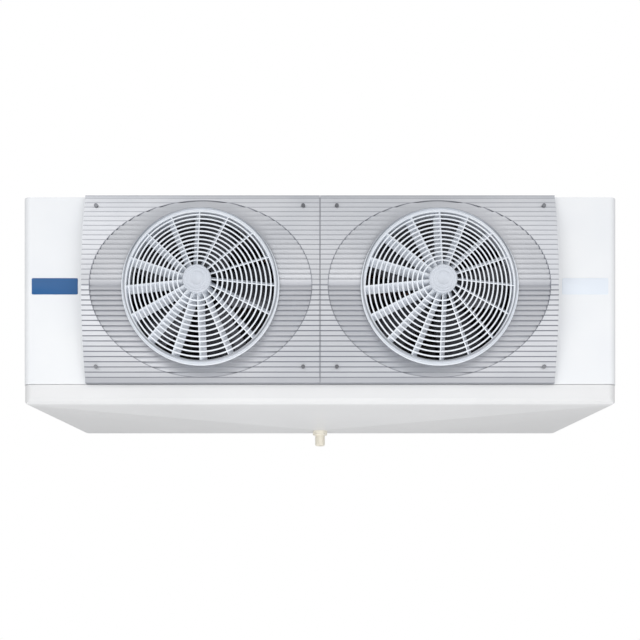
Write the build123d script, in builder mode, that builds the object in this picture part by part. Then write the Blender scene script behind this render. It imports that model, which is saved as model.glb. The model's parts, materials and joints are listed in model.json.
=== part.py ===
from build123d import *
from math import copysign, cos, pi, radians, sin, sqrt
import os

# Twin-fan unit cooler for a walk-in cold room, hung under the ceiling.
# Millimetres. +Z is up, the fans blow towards -Y and X runs to the right.
# The origin is the middle of the four hanging slots, on the ceiling plane.

# Casing
WIDTH = 1500
DEPTH = 520
CASING_HEIGHT = 471
SHEET = 1.5
CORNER_RADIUS = 20
LIP_HEIGHT = 44
RAIL_HEIGHT = 50
RAIL_DEPTH = 30
END_BAY = 162
END_FLANGE = 60
END_SHEET = 2

# Hangers and their slots
HANGER_HEIGHT = 30
HANGER_CROWN = 44
HANGER_FOOT = 22
HANGER_SHEET = 2.5
HANGER_LENGTH = 360
SLOT_WIDTH = 11
SLOT_LENGTH = 25
SLOT_PITCH_Y = 300

# Fan bays and their ribbed panels
PANEL_GAP = 0.5
PANEL_FOOT = 10
PANEL_BULGE = 36
PANEL_SKIN = 2
TOP_BAND = 9
BOTTOM_BAND = 15
RIBS_PER_HALF = 18
RIB_STEP = 2
DEEP_RIB_STEP = 6
ELLIPSE_SIDE_MARGIN = 20
ELLIPSE_END_MARGIN = 14.5
SCREW_INSET_OUTER = 30
SCREW_INSET_SEAM = 42
SCREW_INSET_TOP = 30
SCREW_INSET_BOTTOM = 39

# Fan guard, a shallow cone of rings on raked radial vanes
FAN_DROP = 5
GUARD_RADIUS = 194.5
GUARD_RISE = 52
COLLAR_RADIUS = 184
COLLAR_WALL = 2.5
COLLAR_DEPTH = 44
GUARD_FIT = 0.3
RIM_HEIGHT = 5
RIM_SHEET = 2
RIM_BEAD = 5
RING_COUNT = 12
RING_SIDES = 32
SMALL_RING_RADIUS = 95
SMALL_RING_SIDES = 16
RING_CORNER_SHIFT = 1
RING_SINK = 0.5
FIRST_RING_RADIUS = 46.5
LAST_RING_RADIUS = 172
RING_WIDTH = 3.8
RING_HEIGHT = 4.5
HUB_RADIUS = 32
HUB_WALL = 3
HUB_DEPTH = 27
VANE_DROP = 1
VANE_COUNT = 16
VANE_DEPTH = 28
VANE_SHEET = 2
VANE_RAKE = 28
CAP_RADIUS = 34
CAP_HEIGHT = 8
CAP_WALL = 2
CAP_CHAMFER = 2.5

# External-rotor motor and impeller
STATOR_FLANGE = 4
NECK_RADIUS = 20
NECK_LENGTH = 10
CORE_RADIUS = 38
CORE_LENGTH = 68
CORE_END_GAP = 3
AIR_GAP = 1.5
CAN_WALL = 5
CAN_BACK = 4
CAN_FRONT_GAP = 2
SHAFT_RADIUS = 5
SHAFT_END_GAP = 1
RUNNING_CLEARANCE = 0.05
BEARING_RADIUS = 11
BEARING_WIDTH = 8
BLADE_COUNT = 5
BLADE_TIP_RADIUS = 175
BLADE_SHEET = 2
BLADE_CHORD = 150
BLADE_CAMBER = 14
BLADE_PITCH = 22
ROOT_WIDTH = 56
TIP_WIDTH = 108
BLADE_SWEEP = 12
BLADE_SETBACK = 50

# Coil
COIL_REAR_GAP = 50
COIL_TOP_GAP = 14
FIN_DEPTH = 150
FIN_PITCH = 42
FIN_SHEET = 0.6
COIL_PLATE = 1.5
TUBE_ROWS = 3
TUBES_HIGH = 8
TUBE_PITCH_Z = 50
TUBE_PITCH_Y = 43.3
TUBE_RADIUS = 6.35
TUBE_SIDES = 6
BEND_REACH = 34
HEADER_RADIUS = 14
HEADER_SIDES = 12
HEADER_OVERRUN = 22
CONNECTION_RADIUS = 11
CONNECTION_LENGTH = 60
CONNECTION_GAP = 2
CONNECTION_RISE = 14
LIQUID_RADIUS = 6.35
LIQUID_BEND = 30
LIQUID_RUN_Z = -400
FEEDER_RADIUS = 3
FEEDER_SPREAD = 5
FEEDER_RISE = 30
FEEDER_STRAIGHT = 45
DISTRIBUTOR_RADIUS = 13
DISTRIBUTOR_NECK = 9
DISTRIBUTOR_HEAD = 28
DISTRIBUTOR_LENGTH = 45
DISTRIBUTOR_OUT = 112
DISTRIBUTOR_Y = 30
DISTRIBUTOR_TOP = -245
PIPE_CLEARANCE = 3

# Inner tray under the coil
INNER_TRAY_SHEET = 1
INNER_TRAY_FALL = 14
INNER_TRAY_GAP = 8
INNER_TRAY_HOLE = 30
INNER_TRAY_CLEARANCE = 1
INNER_TRAY_INSET = 36
PARTITION_FLANGE = 20

# Wiring box in the right end
BOX_WIDTH = 55
BOX_DEPTH = 160
BOX_HEIGHT = 110
BOX_WALL = 2.5
BOX_LID = 3
GLAND_RADIUS = 8
GLAND_FLANGE = 12
GLAND_LENGTH = 12
GLAND_PITCH = 40
GLAND_OUT = 92
GLAND_Z = -220
BOX_Y = 0
BOX_Z = -220
GLAND_BORE = 5

# Drip tray, a shallow upturned pyramid that falls to the drain
TRAY_GAP = 1
TRAY_SKIRT = 50
TRAY_FALL = 29
TRAY_SHEET = 1.5
TRAY_CORNER = 24
TRAY_BEND = 16
TRAY_BEND_STEPS = 3
SUMP_SIZE = 64

# Drain fitting
DRAIN_RADIUS = 13.2
DRAIN_BORE = 9
DRAIN_FLANGE_RADIUS = 20.5
DRAIN_FLANGE = 5
DRAIN_FLANGE_SIDES = 24
DRAIN_LENGTH = 37
DRAIN_NUT_HEIGHT = 7
DRAIN_NUT_RADIUS = 21
DRAIN_NUT_BORE_SIDES = 16
DRAIN_CLEARANCE = 0.3
DRAIN_PROUD = 3
DRAIN_CHAMFER = 1.5

# Tray hinges at the rear edge
HINGE_SPACING = 1000
LEAF_CLEARANCE = 1
HINGE_AXIS_OUT = 6
KNUCKLE_RADIUS = 5
KNUCKLE_LENGTH = 24
KNUCKLE_GAP = 0.5
LEAF_SHEET = 2
LEAF_HEIGHT = 36
PIN_RADIUS = 2.5
PIN_CLEARANCE = 0.08
PIN_HEAD = 4
PIN_HEAD_HEIGHT = 2

# Screws and bolts
PANEL_SCREW_RADIUS = 2.4
PANEL_SCREW_HEAD = 5
PANEL_SCREW_HEAD_HEIGHT = 3
PANEL_SCREW_REACH = 8
TRAY_SCREW_RADIUS = 3
TRAY_SCREW_HEAD = 6.5
TRAY_SCREW_HEAD_HEIGHT = 4
TRAY_SCREW_LENGTH = 12
TRAY_SCREW_SETBACK = 60
TRAY_SCREW_DROP = 18
TRAY_SLOT_WIDTH = 9
TRAY_SCREW_CLEARANCE = 0.4
LUG_SHEET = 2
LUG_WIDTH = 40
LUG_HEIGHT = 30
LUG_JOGGLE = 2.5
LUG_END = 12
HANGER_BOLT_HEAD = 7.5
HANGER_BOLT_HEAD_HEIGHT = 5
HANGER_BOLT_INSET = 30
MOTOR_SCREW_RADIUS = 2
MOTOR_SCREW_HEAD = 3.6
MOTOR_SCREW_HEAD_HEIGHT = 2.6
MOTOR_SCREW_CIRCLE = 25
MOTOR_SCREWS = 4
HOLE_CLEARANCE = 0.3
SCREW_SIDES = 6
HEAD_SIDES = 8

# Planes and lines that the pieces share
BAY_WIDTH = WIDTH / 2 - END_BAY
FRONT = -DEPTH / 2
REAR = DEPTH / 2
TOP = -HANGER_HEIGHT
BOTTOM = TOP - CASING_HEIGHT
MIDDLE = (TOP + BOTTOM) / 2
UNDER_TOP = TOP - SHEET
CREST = FRONT - PANEL_FOOT - PANEL_BULGE
FAN_X = BAY_WIDTH / 2
FAN_Z = MIDDLE - FAN_DROP
ARC_RADIUS = ((CASING_HEIGHT / 2) ** 2 + PANEL_BULGE**2) / (2 * PANEL_BULGE)
COIL_FRONT = REAR - COIL_REAR_GAP - FIN_DEPTH
COIL_MIDDLE = COIL_FRONT + FIN_DEPTH / 2
COIL_TOP = UNDER_TOP - COIL_TOP_GAP
COIL_HEIGHT = TUBES_HIGH * TUBE_PITCH_Z
COIL_BOTTOM = COIL_TOP - COIL_HEIGHT
TRAY_TOP = BOTTOM - TRAY_GAP
TRAY_FLOOR = TRAY_TOP - TRAY_SKIRT - TRAY_FALL
HINGE_Y = REAR + HINGE_AXIS_OUT
HINGE_Z = BOTTOM - TRAY_GAP / 2
TRAY_SCREW_Y = FRONT + TRAY_SCREW_SETBACK
TRAY_SCREW_Z = TRAY_TOP - TRAY_SCREW_DROP
HEADER_X = -(BAY_WIDTH + END_FLANGE + CONNECTION_RADIUS + PIPE_CLEARANCE)
HEADER_REACH = -HEADER_X - BAY_WIDTH - END_SHEET
DISTRIBUTOR_X = -(BAY_WIDTH + DISTRIBUTOR_OUT)
GLAND_X = BAY_WIDTH + GLAND_OUT
ELLIPSE_WIDTH = BAY_WIDTH - 2 * ELLIPSE_SIDE_MARGIN
ELLIPSE_HEIGHT = CASING_HEIGHT - 2 * ELLIPSE_END_MARGIN
SIDES = (("left", -1), ("right", 1))

os.makedirs("parts", exist_ok=True)


def save(part, name):
    part.label = name
    export_step(part, f"parts/{name}.step")


def arc_depth(z):
    """Y of the panel's crest line at the height z."""
    return CREST + ARC_RADIUS - sqrt(ARC_RADIUS**2 - (z - MIDDLE) ** 2)


def fan_plane(sign):
    """Plane across a fan's axis on the panel's crest, with its normal blowing out."""
    return Plane(origin=(sign * FAN_X, CREST, FAN_Z), x_dir=(1, 0, 0), z_dir=(0, -1, 0))


def panel_screw_spots(sign):
    """The four corner screws of one panel, in (x, z)."""
    columns = (sign * SCREW_INSET_SEAM, sign * (BAY_WIDTH - SCREW_INSET_OUTER))
    rows = (TOP - SCREW_INSET_TOP, BOTTOM + SCREW_INSET_BOTTOM)
    return [(x, z) for x in columns for z in rows]


def tube_spot(row, level):
    """One coil tube's (y, z): row 0 is the rear row, and every other row is shifted by half a pitch."""
    y = COIL_MIDDLE + ((TUBE_ROWS - 1) / 2 - row) * TUBE_PITCH_Y
    shift = TUBE_PITCH_Z / 4 * (-1) ** row
    return y, COIL_BOTTOM + (level + 0.5) * TUBE_PITCH_Z + shift


# Top panel, with lips between the end plates
with BuildPart() as top_panel:
    with BuildSketch(Plane.XY.offset(UNDER_TOP)):
        RectangleRounded(WIDTH, DEPTH, CORNER_RADIUS)
    extrude(amount=SHEET)
    with BuildSketch(Plane.XY.offset(UNDER_TOP)):
        with Locations((0, FRONT + SHEET / 2), (0, REAR - SHEET / 2)):
            Rectangle(2 * BAY_WIDTH, SHEET)
    extrude(amount=SHEET - LIP_HEIGHT)
    with BuildSketch(Plane.XZ):
        with Locations(*panel_screw_spots(-1), *panel_screw_spots(1)):
            RegularPolygon(PANEL_SCREW_RADIUS, SCREW_SIDES)
    extrude(amount=DEPTH, mode=Mode.SUBTRACT)
save(top_panel.part, "top_panel")

# Rails between the end plates, along the lower front and rear edges
for name, edge, inward in (("front_rail", FRONT, 1), ("rear_rail", REAR, -1)):
    with BuildPart() as rail:
        with BuildSketch(Plane.YZ.offset(-BAY_WIDTH)):
            with BuildLine():
                Polyline(
                    (edge, BOTTOM),
                    (edge + inward * RAIL_DEPTH, BOTTOM),
                    (edge + inward * RAIL_DEPTH, BOTTOM + SHEET),
                    (edge + inward * SHEET, BOTTOM + SHEET),
                    (edge + inward * SHEET, BOTTOM + RAIL_HEIGHT),
                    (edge, BOTTOM + RAIL_HEIGHT),
                    close=True,
                )
            make_face()
        extrude(amount=2 * BAY_WIDTH)
        with BuildSketch(Plane.XZ):
            with Locations(*panel_screw_spots(-1), *panel_screw_spots(1)):
                RegularPolygon(PANEL_SCREW_RADIUS, SCREW_SIDES)
        extrude(amount=DEPTH, mode=Mode.SUBTRACT)
    save(rail.part, name)

# End plates: channels turned outwards, with the covers on their flanges
for side, sign in SIDES:
    with BuildPart() as end_plate:
        with BuildSketch(Plane.XY.offset(UNDER_TOP)):
            with Locations((sign * (BAY_WIDTH + END_FLANGE / 2), 0)):
                Rectangle(END_FLANGE, DEPTH - 2 * SHEET)
        extrude(amount=BOTTOM - UNDER_TOP)
        with BuildSketch(Plane.XY.offset(UNDER_TOP - END_SHEET)):
            with Locations((sign * (BAY_WIDTH + END_SHEET + END_FLANGE / 2), 0)):
                Rectangle(END_FLANGE, DEPTH - 2 * SHEET - 2 * END_SHEET)
        extrude(amount=BOTTOM - UNDER_TOP + 2 * END_SHEET, mode=Mode.SUBTRACT)
    save(end_plate.part, f"{side}_end_plate")

# Where the suction header stands, and where its connection leaves
outlets = [tube_spot(0, level) for level in range(0, TUBES_HIGH, 2)]
header_y = outlets[0][0]
header_low = outlets[0][1] - HEADER_OVERRUN
header_high = outlets[-1][1] + HEADER_OVERRUN
CONNECTION_Z = header_low + CONNECTION_RISE

# End covers: bent sheet, round at the corners, open towards the fans, above and below
for side, sign in SIDES:
    with BuildPart() as end_cover:
        with BuildSketch(Plane.XY.offset(BOTTOM)) as plan:
            with Locations((sign * WIDTH / 4, 0)):
                Rectangle(WIDTH / 2, DEPTH)
            fillet(plan.vertices().group_by(Axis.X)[-1 if sign > 0 else 0], CORNER_RADIUS)
            with Locations((sign * BAY_WIDTH / 2, 0)):
                Rectangle(BAY_WIDTH, DEPTH, mode=Mode.SUBTRACT)
        extrude(amount=UNDER_TOP - BOTTOM)
        with BuildSketch(Plane.XY.offset(BOTTOM)) as hollow:
            with Locations((sign * (WIDTH / 4 - SHEET), 0)):
                Rectangle(WIDTH / 2, DEPTH - 2 * SHEET)
            fillet(hollow.vertices().group_by(Axis.X)[-1 if sign > 0 else 0], CORNER_RADIUS - SHEET)
        extrude(amount=UNDER_TOP - BOTTOM, mode=Mode.SUBTRACT)
        # the pipes leave through the left cover's rear wall, and the cables through the right one's
        with BuildSketch(Plane.XZ.offset(-REAR)):
            if sign < 0:
                with Locations((HEADER_X, CONNECTION_Z)):
                    Circle(CONNECTION_RADIUS + PIPE_CLEARANCE)
                with Locations((DISTRIBUTOR_X, LIQUID_RUN_Z)):
                    Circle(LIQUID_RADIUS + PIPE_CLEARANCE)
            else:
                with Locations((GLAND_X, GLAND_Z)):
                    with GridLocations(0, GLAND_PITCH, 1, 2):
                        RegularPolygon(GLAND_RADIUS, HEAD_SIDES)
        extrude(amount=2 * SHEET, both=True, mode=Mode.SUBTRACT)
    save(end_cover.part, f"{side}_end_cover")

# Hangers: hat channels over the end plates, with a slot at each end for the ceiling bolts
with BuildPart() as hanger:
    with BuildSketch(Plane.XZ.offset(-HANGER_LENGTH / 2)):
        with BuildLine():
            Polyline(
                (-HANGER_CROWN / 2 - HANGER_FOOT, TOP),
                (-HANGER_CROWN / 2 - HANGER_FOOT, TOP + HANGER_SHEET),
                (-HANGER_CROWN / 2, TOP + HANGER_SHEET),
                (-HANGER_CROWN / 2, 0),
                (HANGER_CROWN / 2, 0),
                (HANGER_CROWN / 2, TOP + HANGER_SHEET),
                (HANGER_CROWN / 2 + HANGER_FOOT, TOP + HANGER_SHEET),
                (HANGER_CROWN / 2 + HANGER_FOOT, TOP),
                (HANGER_CROWN / 2 - HANGER_SHEET, TOP),
                (HANGER_CROWN / 2 - HANGER_SHEET, -HANGER_SHEET),
                (-HANGER_CROWN / 2 + HANGER_SHEET, -HANGER_SHEET),
                (-HANGER_CROWN / 2 + HANGER_SHEET, TOP),
                close=True,
            )
        make_face()
    extrude(amount=HANGER_LENGTH)
    with BuildSketch(Plane.XY):
        with GridLocations(0, SLOT_PITCH_Y, 1, 2):
            SlotOverall(SLOT_LENGTH, SLOT_WIDTH)
    extrude(amount=-HANGER_SHEET, mode=Mode.SUBTRACT)
for side, sign in SIDES:
    save(Pos(sign * BAY_WIDTH, 0, 0) * hanger.part, f"{side}_hanger")

# Bolts through the hangers' feet and the top panel
with BuildPart() as hanger_bolts:
    foot_y = HANGER_LENGTH / 2 - HANGER_BOLT_INSET
    foot_x = (HANGER_CROWN + HANGER_FOOT) / 2
    spots = [
        (sign * BAY_WIDTH + reach, y)
        for _, sign in SIDES
        for reach in (-foot_x, foot_x)
        for y in (-foot_y, foot_y)
    ]
    with BuildSketch(Plane.XY.offset(TOP + HANGER_SHEET)):
        with Locations(*spots):
            RegularPolygon(HANGER_BOLT_HEAD, 6)
    extrude(amount=HANGER_BOLT_HEAD_HEIGHT)
save(hanger_bolts.part, "hanger_bolts")


def ribbed_face(step):
    """Down the panel's face in (y, z): saw-tooth ribs on the arc, mirrored about mid-height."""
    upper = (TOP - TOP_BAND - MIDDLE) / RIBS_PER_HALF
    lower = (MIDDLE - BOTTOM - BOTTOM_BAND) / RIBS_PER_HALF
    points = [(arc_depth(TOP), TOP), (arc_depth(TOP - TOP_BAND) + step, TOP - TOP_BAND)]
    for rib in range(RIBS_PER_HALF):
        crest_z = TOP - TOP_BAND - rib * upper
        foot_z = crest_z - upper
        points += [(arc_depth(crest_z), crest_z), (arc_depth(foot_z) + step, foot_z)]
    for rib in range(RIBS_PER_HALF):
        crest_z = MIDDLE - (rib + 1) * lower
        points += [(arc_depth(crest_z), crest_z), (arc_depth(crest_z) + step, crest_z)]
    return points + [(arc_depth(BOTTOM), BOTTOM)]


# Fan panels: a convex ribbed face with cheeks, and a turned-in collar that holds the guard
for side, sign in SIDES:
    start = PANEL_GAP if sign > 0 else -BAY_WIDTH
    width = BAY_WIDTH - PANEL_GAP
    across = fan_plane(sign)
    centre = Plane(origin=(sign * FAN_X, 0, MIDDLE), x_dir=(1, 0, 0), z_dir=(0, -1, 0))
    with BuildPart() as ellipse_zone:
        with BuildSketch(Plane.YZ.offset(start)):
            with BuildLine():
                Polyline(*ribbed_face(DEEP_RIB_STEP), (FRONT, BOTTOM), (FRONT, TOP), close=True)
            make_face()
        extrude(amount=width)
        with BuildSketch(centre):
            Ellipse(ELLIPSE_WIDTH / 2, ELLIPSE_HEIGHT / 2)
        extrude(amount=DEPTH, mode=Mode.INTERSECT)
    with BuildPart() as cavity:
        with BuildSketch(Plane.YZ.offset(start + PANEL_SKIN)):
            high = TOP - PANEL_SKIN
            low = BOTTOM + PANEL_SKIN
            back = DEEP_RIB_STEP + PANEL_SKIN
            with BuildLine():
                Polyline((arc_depth(low) + back, low), (FRONT, low), (FRONT, high), (arc_depth(high) + back, high))
                ThreePointArc((arc_depth(high) + back, high), (CREST + back, MIDDLE), (arc_depth(low) + back, low))
            make_face()
        extrude(amount=width - 2 * PANEL_SKIN)
        with BuildSketch(across):
            Circle(COLLAR_RADIUS + GUARD_FIT + PANEL_SKIN)
        extrude(amount=DEPTH, both=True, mode=Mode.SUBTRACT)
    with BuildPart() as fan_panel:
        with BuildSketch(Plane.YZ.offset(start)):
            with BuildLine():
                Polyline(*ribbed_face(RIB_STEP), (FRONT, BOTTOM), (FRONT, TOP), close=True)
            make_face()
        extrude(amount=width)
        with BuildSketch(centre):
            Ellipse(ELLIPSE_WIDTH / 2, ELLIPSE_HEIGHT / 2)
        extrude(amount=DEPTH, mode=Mode.SUBTRACT)
        add(ellipse_zone.part)
        add(cavity.part, mode=Mode.SUBTRACT)
        with BuildSketch(across):
            Circle(COLLAR_RADIUS + GUARD_FIT)
        extrude(amount=DEPTH, both=True, mode=Mode.SUBTRACT)
        with BuildSketch(Plane.XZ):
            with Locations(*panel_screw_spots(sign)):
                RegularPolygon(PANEL_SCREW_RADIUS + HOLE_CLEARANCE, SCREW_SIDES)
        extrude(amount=DEPTH, mode=Mode.SUBTRACT)
    save(fan_panel.part, f"{side}_fan_panel")

# The fan pieces are modelled once on their own axis: +Z forward, origin on the panel's crest
CONE_SLOPE = (GUARD_RISE - VANE_DROP - RIM_HEIGHT) / (COLLAR_RADIUS - HUB_RADIUS)
HUB_BACK = GUARD_RISE - HUB_DEPTH
FLANGE_BACK = HUB_BACK - STATOR_FLANGE
CORE_FRONT = FLANGE_BACK - NECK_LENGTH
CORE_BACK = CORE_FRONT - CORE_LENGTH
CAN_INNER = CORE_RADIUS + AIR_GAP
CAN_OUTER = CAN_INNER + CAN_WALL
CAN_BACK_INSIDE = CORE_BACK - CORE_END_GAP
CAN_BACK_OUTSIDE = CAN_BACK_INSIDE - CAN_BACK
CAN_FRONT = CORE_FRONT - CAN_FRONT_GAP


def cone_height(radius):
    """How far forward the guard's rings and vanes stand at a radius."""
    return RIM_HEIGHT + CONE_SLOPE * (COLLAR_RADIUS - radius)


# One vane: a flat sheet along the cone, raked so that its back edge runs ahead of its front edge
vane_shift = VANE_DEPTH * sin(radians(VANE_RAKE))
vane_back = VANE_DEPTH * cos(radians(VANE_RAKE))
vane_in = HUB_RADIUS - HUB_WALL / 2
vane_out = COLLAR_RADIUS - COLLAR_WALL / 2
vane_run = Vector(1, 0, -CONE_SLOPE).normalized()
vane_plane = Plane(
    origin=(0, 0, cone_height(0)),
    x_dir=vane_run,
    z_dir=vane_run.cross(Vector(0, vane_shift, -vane_back)),
)
vane_corners = [
    (vane_in, 0, cone_height(vane_in)),
    (vane_out, 0, cone_height(vane_out)),
    (sqrt(vane_out**2 - vane_shift**2), vane_shift, cone_height(vane_out) - vane_back),
    (sqrt(vane_in**2 - vane_shift**2), vane_shift, cone_height(vane_in) - vane_back),
]
with BuildPart() as vane:
    with BuildSketch(vane_plane):
        with BuildLine():
            flat = [vane_plane.to_local_coords(Vector(*corner)) for corner in vane_corners]
            Polyline(*[(corner.X, corner.Y) for corner in flat], close=True)
        make_face()
    extrude(amount=VANE_SHEET / 2, both=True)


def guard_ring(radius):
    """A V-section ring a little behind the vanes' front edges, with its corners inside the vanes."""
    sides = SMALL_RING_SIDES if radius < SMALL_RING_RADIUS else RING_SIDES
    turns = [2 * pi * corner / sides + RING_CORNER_SHIFT / radius for corner in range(sides)]
    with BuildPart() as ring:
        with BuildLine(Plane.XY.offset(cone_height(radius) - RING_SINK)) as path:
            Polyline(*[(radius * cos(turn), radius * sin(turn)) for turn in turns], close=True)
        start = path.wires()[0] @ 0
        along = path.wires()[0] % 0
        with BuildSketch(Plane(origin=start, x_dir=(start.X, start.Y, 0), z_dir=along)):
            with BuildLine():
                Polyline((0, 0), (-RING_WIDTH, 0), (-RING_WIDTH / 2, RING_HEIGHT), close=True)
            make_face()
        sweep(path=path.wires()[0], transition=Transition.RIGHT)
    return ring.part


ring_pitch = (LAST_RING_RADIUS - FIRST_RING_RADIUS) / (RING_COUNT - 1)
rings = [guard_ring(FIRST_RING_RADIUS + ring * ring_pitch) for ring in range(RING_COUNT)]
vanes = [vane.part.rotate(Axis.Z, 360 * turn / VANE_COUNT) for turn in range(VANE_COUNT)]

# Fan guard: a rim with a collar, a hub cup, and V-section rings between them, on the vanes
with BuildPart() as fan_guard:
    with BuildSketch(Plane.XZ):
        with BuildLine():
            Polyline(
                (COLLAR_RADIUS - COLLAR_WALL, -COLLAR_DEPTH),
                (COLLAR_RADIUS, -COLLAR_DEPTH),
                (COLLAR_RADIUS, 0),
                (GUARD_RADIUS, 0),
                (GUARD_RADIUS - RIM_BEAD / 2, RIM_HEIGHT),
                (COLLAR_RADIUS, RIM_SHEET),
                (COLLAR_RADIUS - COLLAR_WALL, RIM_HEIGHT),
                close=True,
            )
        make_face()
        with BuildLine():
            Polyline(
                (0, GUARD_RISE),
                (HUB_RADIUS, GUARD_RISE),
                (HUB_RADIUS, HUB_BACK),
                (HUB_RADIUS - HUB_WALL, HUB_BACK),
                (HUB_RADIUS - HUB_WALL, GUARD_RISE - HUB_WALL),
                (0, GUARD_RISE - HUB_WALL),
                close=True,
            )
        make_face()
    revolve(axis=Axis.Z)
    with BuildSketch(Plane.XY.offset(GUARD_RISE)):
        with PolarLocations(MOTOR_SCREW_CIRCLE, MOTOR_SCREWS, start_angle=45):
            RegularPolygon(MOTOR_SCREW_RADIUS, SCREW_SIDES)
    extrude(amount=-HUB_WALL, mode=Mode.SUBTRACT)
    add(rings + vanes)

# Hub cap over the screws
with BuildPart() as hub_cap:
    with BuildSketch(Plane.XY.offset(GUARD_RISE)):
        Circle(CAP_RADIUS)
    extrude(amount=CAP_HEIGHT)
    chamfer(hub_cap.edges().group_by(Axis.Z)[-1], CAP_CHAMFER)
    with BuildSketch(Plane.XY.offset(GUARD_RISE)):
        Circle(CAP_RADIUS - CAP_WALL)
    extrude(amount=CAP_HEIGHT - CAP_WALL, mode=Mode.SUBTRACT)

# Motor stator: flange on the hub cup, neck, wound core, and a bore for the bearings
with BuildPart() as motor_stator:
    with BuildSketch(Plane.XZ):
        with BuildLine():
            Polyline(
                (0, HUB_BACK),
                (HUB_RADIUS, HUB_BACK),
                (HUB_RADIUS, FLANGE_BACK),
                (NECK_RADIUS, FLANGE_BACK),
                (NECK_RADIUS, CORE_FRONT),
                (CORE_RADIUS, CORE_FRONT),
                (CORE_RADIUS, CORE_BACK),
                (BEARING_RADIUS, CORE_BACK),
                (BEARING_RADIUS, CORE_FRONT),
                (0, CORE_FRONT),
                close=True,
            )
        make_face()
    revolve(axis=Axis.Z)
    with BuildSketch(Plane.XY.offset(HUB_BACK)):
        with PolarLocations(MOTOR_SCREW_CIRCLE, MOTOR_SCREWS, start_angle=45):
            RegularPolygon(MOTOR_SCREW_RADIUS, SCREW_SIDES)
    extrude(amount=-STATOR_FLANGE, mode=Mode.SUBTRACT)

# Screws from under the cap through the hub cup into the stator's flange
with BuildPart() as motor_screws:
    with BuildSketch(Plane.XY.offset(GUARD_RISE)):
        with PolarLocations(MOTOR_SCREW_CIRCLE, MOTOR_SCREWS, start_angle=45):
            RegularPolygon(MOTOR_SCREW_HEAD, 6)
    extrude(amount=MOTOR_SCREW_HEAD_HEIGHT)
    with BuildSketch(Plane.XY.offset(GUARD_RISE)):
        with PolarLocations(MOTOR_SCREW_CIRCLE, MOTOR_SCREWS, start_angle=45):
            RegularPolygon(MOTOR_SCREW_RADIUS, SCREW_SIDES)
    extrude(amount=FLANGE_BACK - GUARD_RISE)

# Two ball bearings, drawn as plain rings, at the ends of the stator's bore
with BuildPart() as motor_bearings:
    for low in (CORE_BACK, CORE_FRONT - BEARING_WIDTH):
        with BuildSketch(Plane.XY.offset(low)):
            Circle(BEARING_RADIUS)
            Circle(SHAFT_RADIUS + RUNNING_CLEARANCE, mode=Mode.SUBTRACT)
        extrude(amount=BEARING_WIDTH)

# Shaft, pressed into the back of the rotor can
with BuildPart() as motor_shaft:
    with BuildSketch(Plane.XY.offset(CAN_BACK_OUTSIDE)):
        Circle(SHAFT_RADIUS)
    extrude(amount=CORE_FRONT - SHAFT_END_GAP - CAN_BACK_OUTSIDE)

# One blade: a cambered sheet at its pitch, trimmed to the outline and the tip circle
CAN_MIDDLE = (CAN_INNER + CAN_OUTER) / 2
slope = radians(BLADE_PITCH)
with BuildPart() as blade:
    across = Plane(origin=(0, 0, -BLADE_SETBACK), x_dir=(0, cos(slope), sin(slope)), z_dir=(1, 0, 0))
    with BuildSketch(across):
        with BuildLine():
            half = BLADE_CHORD / 2
            ThreePointArc((-half, 0), (0, BLADE_CAMBER), (half, 0))
            Line((half, 0), (half, BLADE_SHEET))
            ThreePointArc((half, BLADE_SHEET), (0, BLADE_CAMBER + BLADE_SHEET), (-half, BLADE_SHEET))
            Line((-half, BLADE_SHEET), (-half, 0))
        make_face()
    extrude(amount=BLADE_TIP_RADIUS)
    with BuildSketch():
        with BuildLine():
            Polyline(
                (0, -ROOT_WIDTH / 2),
                (BLADE_TIP_RADIUS, BLADE_SWEEP - TIP_WIDTH / 2),
                (BLADE_TIP_RADIUS, BLADE_SWEEP + TIP_WIDTH / 2),
                (0, ROOT_WIDTH / 2),
                close=True,
            )
        make_face()
        Circle(BLADE_TIP_RADIUS, mode=Mode.INTERSECT)
        Circle(CAN_MIDDLE, mode=Mode.SUBTRACT)
    extrude(amount=BLADE_TIP_RADIUS, both=True, mode=Mode.INTERSECT)

# Impeller: the rotor can with the blades welded on
with BuildPart() as impeller:
    with BuildSketch(Plane.XZ):
        with BuildLine():
            Polyline(
                (SHAFT_RADIUS, CAN_BACK_OUTSIDE),
                (CAN_OUTER, CAN_BACK_OUTSIDE),
                (CAN_OUTER, CAN_FRONT),
                (CAN_INNER, CAN_FRONT),
                (CAN_INNER, CAN_BACK_INSIDE),
                (SHAFT_RADIUS, CAN_BACK_INSIDE),
                close=True,
            )
        make_face()
    revolve(axis=Axis.Z)
    add([blade.part.rotate(Axis.Z, 360 * turn / BLADE_COUNT) for turn in range(BLADE_COUNT)])

# Both fans, put in their places: what turns keeps a file for each fan, and the rest goes in pairs
for side, sign in SIDES:
    place = fan_plane(sign).location
    for name, piece in (("fan_guard", fan_guard), ("motor_shaft", motor_shaft), ("impeller", impeller)):
        save(piece.part.moved(place), f"{side}_{name}")
for name, piece in (
    ("hub_caps", hub_cap),
    ("motor_stators", motor_stator),
    ("motor_bearings", motor_bearings),
    ("motor_screws", motor_screws),
):
    save(Compound([piece.part.moved(fan_plane(sign).location) for _, sign in SIDES]), name)

# Panel screws, from the panels' face into the top panel's lip and the front rail
with BuildPart() as panel_screws:
    for _, sign in SIDES:
        for x, z in panel_screw_spots(sign):
            # the head rests where the curved face stands out most beneath it
            rest = arc_depth(z - copysign(PANEL_SCREW_HEAD, z - MIDDLE))
            with BuildSketch(Plane.XZ.offset(-rest)):
                with Locations((x, z)):
                    RegularPolygon(PANEL_SCREW_HEAD, HEAD_SIDES)
            extrude(amount=PANEL_SCREW_HEAD_HEIGHT)
            with BuildSketch(Plane.XZ.offset(-rest)):
                with Locations((x, z)):
                    RegularPolygon(PANEL_SCREW_RADIUS, SCREW_SIDES)
            extrude(amount=rest - FRONT - PANEL_SCREW_REACH)
save(panel_screws.part, "panel_screws")

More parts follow.
